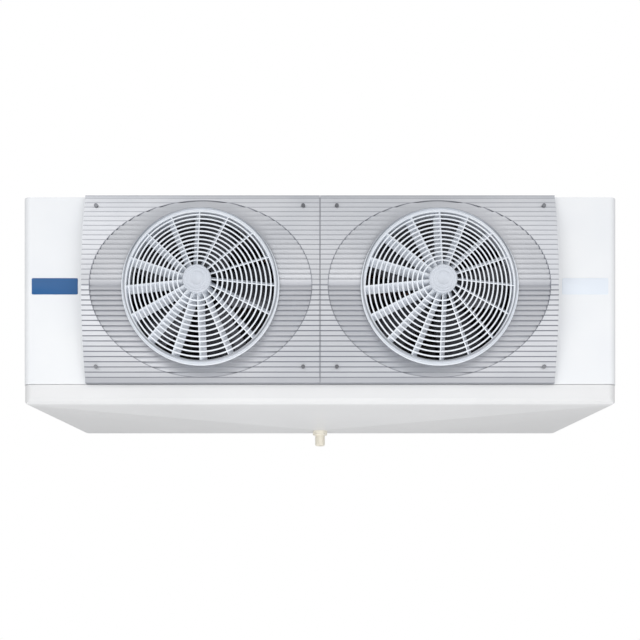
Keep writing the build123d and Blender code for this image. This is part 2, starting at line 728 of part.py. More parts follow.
# Partition between the fan bays, with a flange behind the panels' seam
with BuildPart() as partition:
    with BuildSketch(Plane.XY.offset(COIL_BOTTOM)):
        with Locations((0, (FRONT + SHEET + COIL_FRONT) / 2)):
            Rectangle(SHEET, COIL_FRONT - FRONT - SHEET)
        with Locations((0, FRONT + SHEET * 3 / 2)):
            Rectangle(2 * PARTITION_FLANGE, SHEET)
    extrude(amount=UNDER_TOP - COIL_BOTTOM)
save(partition.part, "partition")

# Coil fins between a top and a bottom plate
with BuildPart() as coil_fins:
    gaps = round(2 * BAY_WIDTH / FIN_PITCH)
    pitch = (2 * BAY_WIDTH - FIN_SHEET) / gaps
    with BuildSketch(Plane.XZ.offset(-COIL_FRONT)):
        with Locations((0, (COIL_TOP + COIL_BOTTOM) / 2)):
            Rectangle(2 * BAY_WIDTH, COIL_HEIGHT)
            with GridLocations(pitch, 0, gaps, 1):
                Rectangle(pitch - FIN_SHEET, COIL_HEIGHT - 2 * COIL_PLATE, mode=Mode.SUBTRACT)
    extrude(amount=-FIN_DEPTH)
save(coil_fins.part, "coil_fins")

# Coil tubes through the fins, from end plate to end plate
with BuildPart() as coil_tubes:
    with BuildSketch(Plane.YZ.offset(-BAY_WIDTH)):
        with Locations(*[tube_spot(row, level) for row in range(TUBE_ROWS) for level in range(TUBES_HIGH)]):
            RegularPolygon(TUBE_RADIUS, TUBE_SIDES)
    extrude(amount=2 * BAY_WIDTH)
save(coil_tubes.part, "coil_tubes")


def return_bend(sign, one, other):
    """A U of tube outside an end plate, between the tubes at two (y, z) spots."""
    near = sign * (BAY_WIDTH + END_SHEET)
    far = near + sign * BEND_REACH
    with BuildPart() as bend:
        with BuildLine() as path:
            Polyline((near, *one), (far, *one), (far, *other), (near, *other))
        with BuildSketch(Plane(origin=(near, *one), z_dir=(sign, 0, 0))):
            RegularPolygon(TUBE_RADIUS, TUBE_SIDES)
        sweep(path=path.wires()[0], transition=Transition.RIGHT)
    return bend.part


# Each circuit takes two levels: in at the front row on the left, out at the rear row on the left
LAST_ROW = TUBE_ROWS - 1
bends = []
for level in range(0, TUBES_HIGH, 2):
    for row in range(TUBE_ROWS):
        bends.append(return_bend(1, tube_spot(row, level), tube_spot(row, level + 1)))
    for row in range(LAST_ROW):
        shared = level + 1 - row % 2
        bends.append(return_bend(-1, tube_spot(row, shared), tube_spot(row + 1, shared)))
save(Compound(bends), "return_bends")

# Suction header: an upright pipe behind the outlets, with its connection out to the rear
with BuildPart() as suction_header:
    with BuildSketch(Plane.XY.offset(header_low)):
        with Locations((HEADER_X, header_y)):
            RegularPolygon(HEADER_RADIUS, HEADER_SIDES)
    extrude(amount=header_high - header_low)
    with BuildSketch(Plane.YZ.offset(HEADER_X)):
        with Locations(*outlets):
            RegularPolygon(TUBE_RADIUS, TUBE_SIDES)
    extrude(amount=HEADER_REACH)
    with BuildSketch(Plane.XZ.offset(-header_y)):
        with Locations((HEADER_X, CONNECTION_Z)):
            RegularPolygon(CONNECTION_RADIUS, HEADER_SIDES)
    extrude(amount=header_y - REAR - CONNECTION_GAP)
    with BuildSketch(Plane.XZ.offset(-REAR - CONNECTION_GAP)):
        with Locations((HEADER_X, CONNECTION_Z)):
            Circle(CONNECTION_RADIUS)
    extrude(amount=CONNECTION_GAP - CONNECTION_LENGTH)
save(suction_header.part, "suction_header")

# Liquid distributor: a stepped body on end, with a feeder tube to each inlet
with BuildPart() as distributor:
    for radius, length in ((DISTRIBUTOR_RADIUS, DISTRIBUTOR_HEAD), (DISTRIBUTOR_NECK, DISTRIBUTOR_LENGTH)):
        with BuildSketch(Plane.XY.offset(DISTRIBUTOR_TOP)):
            with Locations((DISTRIBUTOR_X, DISTRIBUTOR_Y)):
                RegularPolygon(radius, HEADER_SIDES)
        extrude(amount=-length)
save(distributor.part, "distributor")

END_FACE = -(BAY_WIDTH + END_SHEET)
feeders = []
for circuit in range(TUBES_HIGH // 2):
    inlet_y, inlet_z = tube_spot(LAST_ROW, 2 * circuit + 1)
    turn = radians(45 + 90 * circuit)
    x = DISTRIBUTOR_X + FEEDER_SPREAD * cos(turn)
    y = DISTRIBUTOR_Y + FEEDER_SPREAD * sin(turn)
    with BuildPart() as feeder:
        with BuildLine() as path:
            Polyline(
                (x, y, DISTRIBUTOR_TOP),
                (x, y, DISTRIBUTOR_TOP + FEEDER_RISE),
                (END_FACE - FEEDER_STRAIGHT, inlet_y, inlet_z),
                (END_FACE, inlet_y, inlet_z),
            )
        with BuildSketch(Plane.XY.offset(DISTRIBUTOR_TOP)):
            with Locations((x, y)):
                RegularPolygon(FEEDER_RADIUS, TUBE_SIDES)
        sweep(path=path.wires()[0], transition=Transition.RIGHT)
    feeders.append(feeder.part)
save(Compound(feeders), "feeder_tubes")

# Liquid line from below the distributor out to the rear, with a round end outside the cover
with BuildPart() as liquid_line:
    with BuildLine(Plane.YZ.offset(DISTRIBUTOR_X)) as path:
        Polyline(
            (DISTRIBUTOR_Y, DISTRIBUTOR_TOP - DISTRIBUTOR_LENGTH),
            (DISTRIBUTOR_Y, LIQUID_RUN_Z + LIQUID_BEND),
            (DISTRIBUTOR_Y + LIQUID_BEND, LIQUID_RUN_Z),
            (REAR + CONNECTION_GAP, LIQUID_RUN_Z),
        )
    with BuildSketch(Plane.XY.offset(DISTRIBUTOR_TOP - DISTRIBUTOR_LENGTH)):
        with Locations((DISTRIBUTOR_X, DISTRIBUTOR_Y)):
            RegularPolygon(LIQUID_RADIUS, HEAD_SIDES)
    sweep(path=path.wires()[0], transition=Transition.RIGHT)
    with BuildSketch(Plane.XZ.offset(-REAR - CONNECTION_GAP)):
        with Locations((DISTRIBUTOR_X, LIQUID_RUN_Z)):
            Circle(LIQUID_RADIUS)
    extrude(amount=CONNECTION_GAP - CONNECTION_LENGTH)
save(liquid_line.part, "liquid_line")

# Inner tray: a shallow V under the coil and the fans, with a hole over the outer tray's drain
with BuildPart() as inner_tray:
    edge = DEPTH / 2 - INNER_TRAY_INSET
    high = COIL_BOTTOM - INNER_TRAY_GAP
    low = high - INNER_TRAY_FALL
    lip = COIL_BOTTOM - INNER_TRAY_CLEARANCE
    sheet = INNER_TRAY_SHEET
    with BuildSketch(Plane.YZ.offset(-BAY_WIDTH)):
        with BuildLine():
            Polyline(
                (-edge, lip),
                (-edge, high),
                (0, low),
                (edge, high),
                (edge, lip),
                (edge - sheet, lip),
                (edge - sheet, high + sheet),
                (0, low + sheet),
                (sheet - edge, high + sheet),
                (sheet - edge, lip),
                close=True,
            )
        make_face()
    extrude(amount=2 * BAY_WIDTH)
    with BuildSketch(Plane.XY.offset(low - sheet)):
        Circle(INNER_TRAY_HOLE)
    extrude(amount=INNER_TRAY_FALL, mode=Mode.SUBTRACT)
save(inner_tray.part, "inner_tray")

# Wiring box on the right end plate, its lid, and the glands in the right cover's rear wall
BOX_SEAT = BAY_WIDTH + END_SHEET
with BuildPart() as wiring_box:
    with BuildSketch(Plane.YZ.offset(BOX_SEAT)):
        with Locations((BOX_Y, BOX_Z)):
            Rectangle(BOX_DEPTH, BOX_HEIGHT)
    extrude(amount=BOX_WIDTH)
    with BuildSketch(Plane.YZ.offset(BOX_SEAT + BOX_WALL)):
        with Locations((BOX_Y, BOX_Z)):
            Rectangle(BOX_DEPTH - 2 * BOX_WALL, BOX_HEIGHT - 2 * BOX_WALL)
    extrude(amount=BOX_WIDTH, mode=Mode.SUBTRACT)
save(wiring_box.part, "wiring_box")
with BuildPart() as wiring_box_lid:
    with BuildSketch(Plane.YZ.offset(BOX_SEAT + BOX_WIDTH)):
        with Locations((BOX_Y, BOX_Z)):
            Rectangle(BOX_DEPTH, BOX_HEIGHT)
    extrude(amount=BOX_LID)
save(wiring_box_lid.part, "wiring_box_lid")
with BuildPart() as cable_glands:
    with BuildSketch(Plane.XZ.offset(-REAR)):
        with Locations((GLAND_X, GLAND_Z)):
            with GridLocations(0, GLAND_PITCH, 1, 2):
                RegularPolygon(GLAND_FLANGE, 6)
    extrude(amount=-GLAND_LENGTH)
    with BuildSketch(Plane.XZ.offset(-REAR)):
        with Locations((GLAND_X, GLAND_Z)):
            with GridLocations(0, GLAND_PITCH, 1, 2):
                RegularPolygon(GLAND_RADIUS, HEAD_SIDES)
    extrude(amount=GLAND_LENGTH)
    with BuildSketch(Plane.XZ.offset(-REAR)):
        with Locations((GLAND_X, GLAND_Z)):
            with GridLocations(0, GLAND_PITCH, 1, 2):
                Circle(GLAND_BORE)
    extrude(amount=GLAND_LENGTH, both=True, mode=Mode.SUBTRACT)
save(cable_glands.part, "cable_glands")


def tray_planes():
    """Planes under the tray, facing up: the steps of the bend and the facet, on each of the four sides."""
    turns = [pi / 2 * step / TRAY_BEND_STEPS for step in range(TRAY_BEND_STEPS + 1)]
    planes = []
    for across, along, reach in ((1, 0, WIDTH), (-1, 0, WIDTH), (0, 1, DEPTH), (0, -1, DEPTH)):
        rim = [
            (reach / 2 - TRAY_BEND * (1 - cos(turn)), TRAY_TOP - TRAY_SKIRT + TRAY_BEND * (1 - sin(turn)))
            for turn in turns
        ]
        profile = rim + [(SUMP_SIZE / 2, TRAY_FLOOR)]
        for (out, high), (inner, low) in zip(profile, profile[1:]):
            drop = high - low
            planes.append(
                Plane(origin=(across * out, along * out, high), z_dir=(-across * drop, -along * drop, out - inner))
            )
    return planes


def tray_form(inset):
    """The tray as a solid block, its walls and floor moved in by the inset."""
    with BuildPart() as form:
        with BuildSketch(Plane.XY.offset(TRAY_FLOOR + inset)):
            RectangleRounded(WIDTH - 2 * inset, DEPTH - 2 * inset, TRAY_CORNER - inset)
        extrude(amount=TRAY_TOP - TRAY_FLOOR - inset)
        for plane in tray_planes():
            split(bisect_by=plane.offset(inset), keep=Keep.TOP)
    return form.part


# Drip tray: a skirt all round and four facets that fall to a flat sump
with BuildPart() as drip_tray:
    add(tray_form(0))
    add(tray_form(TRAY_SHEET), mode=Mode.SUBTRACT)
    with BuildSketch(Plane.XY.offset(TRAY_FLOOR)):
        Circle(DRAIN_RADIUS + DRAIN_CLEARANCE)
    extrude(amount=TRAY_FALL, mode=Mode.SUBTRACT)
    # open slots in the ends, so the tray comes down off its screws
    with BuildSketch(Plane.YZ.offset(-WIDTH / 2)):
        with Locations((TRAY_SCREW_Y, TRAY_SCREW_Z)):
            Circle(TRAY_SLOT_WIDTH / 2)
        with Locations((TRAY_SCREW_Y, (TRAY_SCREW_Z + TRAY_TOP) / 2)):
            Rectangle(TRAY_SLOT_WIDTH, TRAY_SCREW_DROP)
    extrude(amount=WIDTH, mode=Mode.SUBTRACT)
save(drip_tray.part, "drip_tray")

# Lugs inside the end covers that reach down behind the tray's ends, and the screws in them
LUG_FACE = WIDTH / 2 - SHEET
with BuildPart() as tray_lugs:
    for _, sign in SIDES:
        with BuildSketch(Plane.XZ.offset(-TRAY_SCREW_Y - LUG_WIDTH / 2)):
            with BuildLine():
                joggle = LUG_FACE - LUG_JOGGLE
                outline = [
                    (LUG_FACE, BOTTOM + LUG_HEIGHT),
                    (LUG_FACE, BOTTOM + LUG_JOGGLE),
                    (joggle, BOTTOM),
                    (joggle, TRAY_SCREW_Z - LUG_END),
                    (joggle - LUG_SHEET, TRAY_SCREW_Z - LUG_END),
                    (joggle - LUG_SHEET, BOTTOM + LUG_SHEET / 2),
                    (LUG_FACE - LUG_SHEET, BOTTOM + LUG_JOGGLE + LUG_SHEET / 2),
                    (LUG_FACE - LUG_SHEET, BOTTOM + LUG_HEIGHT),
                ]
                Polyline(*[(sign * x, z) for x, z in outline], close=True)
            make_face()
        extrude(amount=LUG_WIDTH)
    with BuildSketch(Plane.YZ.offset(-WIDTH / 2)):
        with Locations((TRAY_SCREW_Y, TRAY_SCREW_Z)):
            RegularPolygon(TRAY_SCREW_RADIUS, SCREW_SIDES)
    extrude(amount=WIDTH, mode=Mode.SUBTRACT)
save(tray_lugs.part, "tray_lugs")
with BuildPart() as tray_screws:
    for _, sign in SIDES:
        seat = sign * (WIDTH / 2 + TRAY_SCREW_CLEARANCE)
        with BuildSketch(Plane.YZ.offset(seat)):
            with Locations((TRAY_SCREW_Y, TRAY_SCREW_Z)):
                RegularPolygon(TRAY_SCREW_HEAD, SCREW_SIDES)
        extrude(amount=sign * TRAY_SCREW_HEAD_HEIGHT)
        with BuildSketch(Plane.YZ.offset(seat)):
            with Locations((TRAY_SCREW_Y, TRAY_SCREW_Z)):
                RegularPolygon(TRAY_SCREW_RADIUS, SCREW_SIDES)
        extrude(amount=-sign * TRAY_SCREW_LENGTH)
save(tray_screws.part, "tray_screws")

# Tray hinges: a fixed leaf with the middle knuckle, and a strap with the two outer ones
HINGE_WIDTH = 3 * KNUCKLE_LENGTH + 2 * KNUCKLE_GAP
BORE_RADIUS = PIN_RADIUS + PIN_CLEARANCE
HINGE_XS = (-HINGE_SPACING / 2, HINGE_SPACING / 2)


def hinge_half(knuckles, direction):
    """Leaves on the rear face, above the axis or below it, with knuckles at (x, length)."""
    root = HINGE_Z + direction * (KNUCKLE_RADIUS + LEAF_CLEARANCE)
    with BuildPart() as half:
        for hinge_x in HINGE_XS:
            with BuildSketch(Plane.XZ.offset(-REAR)):
                with Locations((hinge_x, root + direction * LEAF_HEIGHT / 2)):
                    Rectangle(HINGE_WIDTH, LEAF_HEIGHT)
                for x, length in knuckles:
                    with Locations((hinge_x + x, (root + HINGE_Z) / 2)):
                        Rectangle(length, abs(root - HINGE_Z))
            extrude(amount=-LEAF_SHEET)
            for x, length in knuckles:
                with BuildSketch(Plane.YZ.offset(hinge_x + x - length / 2)):
                    with Locations((HINGE_Y, HINGE_Z)):
                        RegularPolygon(KNUCKLE_RADIUS, HEAD_SIDES)
                extrude(amount=length)
        with BuildSketch(Plane.YZ.offset(-WIDTH / 2)):
            with Locations((HINGE_Y, HINGE_Z)):
                Circle(BORE_RADIUS)
        extrude(amount=WIDTH, mode=Mode.SUBTRACT)
    return half.part


outer = KNUCKLE_LENGTH + KNUCKLE_GAP
save(hinge_half([(0, KNUCKLE_LENGTH)], 1), "tray_hinge_leaves")
save(hinge_half([(-outer, KNUCKLE_LENGTH), (outer, KNUCKLE_LENGTH)], -1), "tray_hinge_straps")

# Hinge pins, headed at one end
with BuildPart() as tray_hinge_pins:
    for hinge_x in HINGE_XS:
        start = hinge_x - HINGE_WIDTH / 2 - KNUCKLE_GAP
        with BuildSketch(Plane.YZ.offset(start)):
            with Locations((HINGE_Y, HINGE_Z)):
                Circle(PIN_RADIUS)
        extrude(amount=HINGE_WIDTH + KNUCKLE_GAP + PIN_HEAD)
        with BuildSketch(Plane.YZ.offset(start)):
            with Locations((HINGE_Y, HINGE_Z)):
                RegularPolygon(PIN_HEAD, HEAD_SIDES)
        extrude(amount=-PIN_HEAD_HEIGHT)
save(tray_hinge_pins.part, "tray_hinge_pins")

# Drain fitting up through the sump, and the nut that holds it inside the tray
with BuildPart() as drain_fitting:
    with BuildSketch(Plane.XY.offset(TRAY_FLOOR)):
        RegularPolygon(DRAIN_FLANGE_RADIUS, DRAIN_FLANGE_SIDES)
    extrude(amount=-DRAIN_FLANGE)
    with BuildSketch(Plane.XY.offset(TRAY_FLOOR - DRAIN_FLANGE)):
        Circle(DRAIN_RADIUS)
    extrude(amount=-DRAIN_LENGTH)
    chamfer(drain_fitting.edges().group_by(Axis.Z)[0], DRAIN_CHAMFER)
    with BuildSketch(Plane.XY.offset(TRAY_FLOOR)):
        Circle(DRAIN_RADIUS)
    extrude(amount=TRAY_SHEET + DRAIN_NUT_HEIGHT + DRAIN_PROUD)
    with BuildSketch(Plane.XY.offset(TRAY_FLOOR - DRAIN_FLANGE - DRAIN_LENGTH)):
        Circle(DRAIN_BORE)
    extrude(amount=DRAIN_FLANGE + DRAIN_LENGTH + TRAY_FALL, mode=Mode.SUBTRACT)
save(drain_fitting.part, "drain_fitting")
with BuildPart() as drain_nut:
    with BuildSketch(Plane.XY.offset(TRAY_FLOOR + TRAY_SHEET)):
        RegularPolygon(DRAIN_NUT_RADIUS, 6)
        RegularPolygon(DRAIN_RADIUS, DRAIN_NUT_BORE_SIDES, major_radius=False, mode=Mode.SUBTRACT)
    extrude(amount=DRAIN_NUT_HEIGHT)
save(drain_nut.part, "drain_nut")
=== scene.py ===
import json
from math import cos, pi, radians, sin, sqrt

import bmesh
import bpy
from mathutils import Matrix, Vector


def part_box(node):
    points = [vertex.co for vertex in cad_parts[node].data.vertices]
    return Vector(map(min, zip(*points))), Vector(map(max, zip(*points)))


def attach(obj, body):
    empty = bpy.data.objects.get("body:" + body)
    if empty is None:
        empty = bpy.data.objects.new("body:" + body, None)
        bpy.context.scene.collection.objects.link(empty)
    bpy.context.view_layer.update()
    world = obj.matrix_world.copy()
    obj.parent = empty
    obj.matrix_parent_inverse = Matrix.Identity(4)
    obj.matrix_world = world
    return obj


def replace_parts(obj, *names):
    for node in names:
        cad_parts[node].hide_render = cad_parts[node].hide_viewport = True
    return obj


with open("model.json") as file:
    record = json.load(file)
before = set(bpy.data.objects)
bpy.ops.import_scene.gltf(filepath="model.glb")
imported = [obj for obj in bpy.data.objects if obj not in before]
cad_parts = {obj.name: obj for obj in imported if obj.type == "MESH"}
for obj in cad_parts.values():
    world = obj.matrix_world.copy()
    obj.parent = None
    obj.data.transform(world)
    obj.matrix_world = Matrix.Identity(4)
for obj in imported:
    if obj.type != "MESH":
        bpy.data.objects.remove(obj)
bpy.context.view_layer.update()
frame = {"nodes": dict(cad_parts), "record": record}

# Camera, worked out from the photograph
IMAGE_WIDTH = 640
FOCAL_PIXELS = 770.6
HORIZON_ROW = 544.6
CAMERA_Y = -2.201
CAMERA_Z = -0.905
SENSOR_MM = 36

# Floor, background and lamps
FLOOR_Z = -2.4
FLOOR_SIZE = 40
FLOOR_GREY = 0.8
FLOOR_ROUGHNESS = 0.9
SKY_STRENGTH = 0.62
LAMP_TARGET = (0, 0, -0.27)
LAMP_SIZE = 2.4

# Fan axes, how finely round things are cut, and the pinhole along the axis of turned ones
FAN_X = 0.294
FAN_Z = -0.2655
ROUND_STEPS = 144
WIRE_STEPS = 64
WIRE_SIDES = 8
SHARP_ANGLE = 40
AXIS_HOLE = 0.0004

# Guard: round rings and raked vanes, on the same lines as the CAD piece
GUARD_RADIUS = 0.1945
GUARD_RISE = 0.052
COLLAR_RADIUS = 0.184
COLLAR_WALL = 0.0025
COLLAR_DEPTH = 0.044
RIM_HEIGHT = 0.005
BEAD_WIDTH = 0.003
BEAD_HEIGHT = 0.0042
BEAD_SHOULDER = 0.0016
BEAD_EASE = 0.0006
BEAD_CREST = 0.0014
GROOVE_WIDTH = 0.0054
GROOVE_FLOOR = 0.0003
LIP_CREST = 0.0018
LIP_FALL = 0.0034
LIP_FALL_HEIGHT = 0.0045
LIP_INNER_HEIGHT = 0.003
HUB_RADIUS = 0.032
HUB_WALL = 0.003
HUB_DEPTH = 0.027
HUB_EASE = 0.001
RING_COUNT = 12
FIRST_RING = 0.0465
LAST_RING = 0.172
RING_WIDTH = 0.0038
RING_DEPTH = 0.0045
RING_SINK = 0.0005
RING_CROWN_SHARE = 0.7
RING_CROWN_DROP = 0.0001
RING_SIDE_DROP = 0.0008
RING_BACK_SHARE = 0.3
VANE_COUNT = 16
VANE_DROP = 0.001
VANE_DEPTH = 0.028
VANE_SHEET = 0.002
VANE_RAKE = 28
CONE_SLOPE = (GUARD_RISE - VANE_DROP - RIM_HEIGHT) / (COLLAR_RADIUS - HUB_RADIUS)

# Hub caps
CAP_RADIUS = 0.034
CAP_FRONT = 0.060
CAP_CHAMFER = 0.0025
CAP_WALL = 0.002
CAP_STEPS = 96
DISH_DEPTH = 0.0009
HUB_RING_RADII = (0.0165, 0.0260)
HUB_RING_WIDTH = 0.0011

# Blank plates
PLATE_WIDTH = 0.116
PLATE_HEIGHT = 0.041
PLATE_SHEET = 0.0008
PLATE_SQUARE_SHARE = 0.7
PLATE_EASE = 0.0004
PLATE_CORNER = 0.003
PLATE_CORNER_STEPS = 4
PLATE_X = 0.668
PLATE_Z = -0.2545

# Fine fins between the coil's own coarse ones
FINE_FIN_PITCH = 0.00525
FINE_FIN_SHEET = 0.0004
FIN_INSET = 0.0018
FIN_SETBACK = 0.001

# Drain fitting: six-sided collar and close thread rings
SPOUT_RADIUS = 0.0132
SPOUT_LENGTH = 0.037
DRAIN_COLLAR_RADIUS = 0.0203
DRAIN_COLLAR_HEIGHT = 0.0075
DRAIN_COLLAR_EASE = 0.0015
DRAIN_COLLAR_SIDES = 6
THREAD_TURNS = 10
THREAD_START = 0.0035
THREAD_PITCH = 0.0024
THREAD_WIRE = 0.0009

# Painted shade along the fan panels' ribs and ellipses, at their seam, middle and edges, and in the guards'
# rims; the panels' flat bands are painted darker
RIBS_PER_HALF = 18
UPPER_PITCH = 0.2265 / RIBS_PER_HALF
LOWER_PITCH = 0.2205 / RIBS_PER_HALF
RIB_LEDGE = 0.03
RIB_SLACK = 0.1
RIB_SHADE_REACH = 0.3
RIB_SHADE = 0.85
BAND_SHADE = 0.2
PANEL_EDGE = 0.2335
EDGE_SHADE = 0.6
SEAM_SHADE_REACH = 0.003
SEAM_SHADE = 0.55
ELLIPSE_HALF_WIDTH = 0.274
ELLIPSE_HALF_HEIGHT = 0.221
ELLIPSE_SHADE_REACH = 0.008
ELLIPSE_SHADE = 0.7
ELLIPSE_EASE = 0.55
MIDDLE_SHADE_REACH = 0.016
MIDDLE_SHADE = 0.4
RIM_GROOVE_MIDDLE = GUARD_RADIUS - BEAD_WIDTH - GROOVE_WIDTH / 2
RIM_GROOVE_REACH = 0.0038
RIM_GROOVE_SHADE = 0.75

# Patterns of the materials: broad patches of colour, and fine grain in roughness and relief
PATCH_SCALE = 4
PATCH_DETAIL = 3
PATCH_FROM = 0.35
PATCH_TO = 0.65
GRAIN_SCALE = 900
GRAIN_DETAIL = 2
GRAIN_RELIEF = 0.15
GRAIN_DEPTH = 0.0002
SMOOTH_RELIEF = 0.05
PLATE_RELIEF = 0.04
EVEN = (1, 1, 1)
BRUSHED_ACROSS = (0.05, 1, 1)
BRUSHED_UPRIGHT = (1, 1, 0.1)


def new_material(name):
    """A material, its node tree and its principled shader."""
    material = bpy.data.materials.new(name)
    material.use_nodes = True
    tree = material.node_tree
    return material, tree, tree.nodes["Principled BSDF"]


def noise(tree, scale, detail, stretch=EVEN):
    """A noise pattern in object coordinates, in metres."""
    place = tree.nodes.new("ShaderNodeTexCoord")
    mapping = tree.nodes.new("ShaderNodeMapping")
    mapping.inputs["Scale"].default_value = stretch
    texture = tree.nodes.new("ShaderNodeTexNoise")
    texture.inputs["Scale"].default_value = scale
    texture.inputs["Detail"].default_value = detail
    tree.links.new(place.outputs["Object"], mapping.inputs["Vector"])
    tree.links.new(mapping.outputs["Vector"], texture.inputs["Vector"])
    return texture.outputs["Fac"]


def vary_colour(tree, shader, pattern, dark, light):
    """Base colour that drifts between two close shades."""
    ramp = tree.nodes.new("ShaderNodeValToRGB")
    low, high = ramp.color_ramp.elements
    low.position = PATCH_FROM
    low.color = (*dark, 1)
    high.position = PATCH_TO
    high.color = (*light, 1)
    tree.links.new(pattern, ramp.inputs["Fac"])
    tree.links.new(ramp.outputs["Color"], shader.inputs["Base Color"])


def vary_roughness(tree, shader, pattern, low, high):
    """Roughness that drifts between two values."""
    spread = tree.nodes.new("ShaderNodeMapRange")
    spread.inputs["To Min"].default_value = low
    spread.inputs["To Max"].default_value = high
    tree.links.new(pattern, spread.inputs["Value"])
    tree.links.new(spread.outputs["Result"], shader.inputs["Roughness"])


def add_bump(tree, shader, pattern, strength):
    """Fine relief from a pattern."""
    bump = tree.nodes.new("ShaderNodeBump")
    bump.inputs["Strength"].default_value = strength
    bump.inputs["Distance"].default_value = GRAIN_DEPTH
    tree.links.new(pattern, bump.inputs["Height"])
    tree.links.new(bump.outputs["Normal"], shader.inputs["Normal"])


def surface(name, dark, light, rough, metallic=0.0, patch=PATCH_SCALE, grain=GRAIN_SCALE, stretch=EVEN,
            relief=GRAIN_RELIEF):
    """Paint, plastic or metal: broad drifts of shade, and fine grain in roughness and relief."""
    material, tree, shader = new_material(name)
    shader.inputs["Metallic"].default_value = metallic
    broad = noise(tree, patch, PATCH_DETAIL)
    fine = noise(tree, grain, GRAIN_DETAIL, stretch)
    vary_colour(tree, shader, broad, dark, light)
    vary_roughness(tree, shader, fine, *rough)
    add_bump(tree, shader, fine, relief)
    return material


def maths(tree, operation, first, second=None):
    """The result of a math node on sockets or plain numbers."""
    node = tree.nodes.new("ShaderNodeMath")
    node.operation = operation
    for socket, value in zip(node.inputs, (first, second)):
        if isinstance(value, (int, float)):
            socket.default_value = value
        elif value is not None:
            tree.links.new(value, socket)
    return node.outputs["Value"]


def fade(tree, value, reach, strength):
    """Strength where the value is nought, falling smoothly to none at its reach."""
    node = tree.nodes.new("ShaderNodeMapRange")
    node.interpolation_type = "SMOOTHSTEP"
    node.inputs["From Min"].default_value = 0
    node.inputs["From Max"].default_value = reach
    node.inputs["To Min"].default_value = strength
    node.inputs["To Max"].default_value = 0
    tree.links.new(value, node.inputs["Value"])
    return node.outputs["Result"]


def strongest(tree, *amounts):
    """The largest of several amounts."""
    largest = amounts[0]
    for amount in amounts[1:]:
        largest = maths(tree, "MAXIMUM", largest, amount)
    return largest


def distance(tree, across, up):
    """How far a point is from nought, from its two coordinates."""
    squares = maths(tree, "ADD", maths(tree, "POWER", across, 2), maths(tree, "POWER", up, 2))
    return maths(tree, "SQRT", squares)


def fan_place(tree):
    """How far a point is from the seam between the panels, and across and up from the nearer fan's axis."""
    place = tree.nodes.new("ShaderNodeTexCoord")
    split = tree.nodes.new("ShaderNodeSeparateXYZ")
    tree.links.new(place.outputs["Object"], split.inputs["Vector"])
    off_seam = maths(tree, "ABSOLUTE", split.outputs["X"])
    across = maths(tree, "SUBTRACT", off_seam, FAN_X)
    up = maths(tree, "SUBTRACT", split.outputs["Z"], FAN_Z)
    return off_seam, across, up


def rib_number(tree, up, off_middle):
    """How many rib pitches a point is from the panel's middle; the two halves differ a little in pitch."""
    upper = maths(tree, "GREATER_THAN", up, 0.0)
    widening = maths(tree, "MULTIPLY", upper, UPPER_PITCH - LOWER_PITCH)
    return maths(tree, "DIVIDE", off_middle, maths(tree, "ADD", widening, LOWER_PITCH))


def mix_shade(tree, amount, shade):
    """Lay a painted shade colour over the base colour, by an amount from nought to one."""
    base = tree.nodes["Principled BSDF"].inputs["Base Color"]
    plain = base.links[0].from_socket
    mix = tree.nodes.new("ShaderNodeMix")
    mix.data_type = "RGBA"
    mix.inputs["B"].default_value = (*shade, 1)
    tree.links.new(amount, mix.inputs["Factor"])
    tree.links.new(plain, mix.inputs["A"])
    tree.links.new(mix.outputs["Result"], base)


def ribbed_silver_with_painted_shade(name, dark, light, groove, rough, metallic, patch, grain):
    """Silver sheet with painted shade under each rib, along the ellipse's step, at mid-height, at the seam
    and at the edges, and with flat bands painted darker; groove is the painted shade's colour.
    """
    material = surface(name, dark, light, rough, metallic, patch, grain, BRUSHED_ACROSS)
    tree = material.node_tree
    off_seam, across, up = fan_place(tree)
    off_middle = maths(tree, "ABSOLUTE", up)
    number = rib_number(tree, up, off_middle)
    on_ribs = maths(tree, "LESS_THAN", number, RIBS_PER_HALF + RIB_SLACK)
    across = maths(tree, "DIVIDE", across, ELLIPSE_HALF_WIDTH)
    radius = distance(tree, across, maths(tree, "DIVIDE", up, ELLIPSE_HALF_HEIGHT))
    in_ellipse = maths(tree, "LESS_THAN", radius, 1)
    easing = maths(tree, "SUBTRACT", 1, maths(tree, "MULTIPLY", in_ellipse, ELLIPSE_EASE))

    # Painted shade under each rib's ledge, lessened inside the ellipse
    place_in_rib = maths(tree, "FRACT", maths(tree, "ADD", number, RIB_LEDGE))
    painted_rib_shade = fade(tree, place_in_rib, RIB_SHADE_REACH, RIB_SHADE)
    painted_rib_shade = maths(tree, "MULTIPLY", maths(tree, "MULTIPLY", painted_rib_shade, on_ribs), easing)
    # Flat bands beyond the ribs painted darker; painted dark lines at the top and bottom edges and along the
    # seam between the panels
    painted_darker_bands = maths(tree, "MULTIPLY", maths(tree, "SUBTRACT", 1, on_ribs), BAND_SHADE)
    edge = maths(tree, "MULTIPLY", maths(tree, "GREATER_THAN", off_middle, PANEL_EDGE), EDGE_SHADE)
    seam = fade(tree, off_seam, SEAM_SHADE_REACH, SEAM_SHADE)
    # Painted shade along the ellipse's step, and across the middle inside the ellipse
    off_line = maths(tree, "ABSOLUTE", maths(tree, "SUBTRACT", radius, 1))
    outline = fade(tree, off_line, ELLIPSE_SHADE_REACH, ELLIPSE_SHADE)
    middle = maths(tree, "MULTIPLY", fade(tree, off_middle, MIDDLE_SHADE_REACH, MIDDLE_SHADE), in_ellipse)
    mix_shade(tree, strongest(tree, painted_rib_shade, outline, painted_darker_bands, edge, seam, middle), groove)
    return material


def guard_plastic_with_painted_shade(name, dark, light, groove, rough, relief):
    """Guard plastic with painted shade in the groove of its rim, in the colour given as groove."""
    material = surface(name, dark, light, rough, relief=relief)
    tree = material.node_tree
    across, up = fan_place(tree)[1:]
    # Painted shade in the rim's groove, between the bead and the lip
    off_groove = maths(tree, "SUBTRACT", distance(tree, across, up), RIM_GROOVE_MIDDLE)
    shade = fade(tree, maths(tree, "ABSOLUTE", off_groove), RIM_GROOVE_REACH, RIM_GROOVE_SHADE)
    mix_shade(tree, shade, groove)
    return material


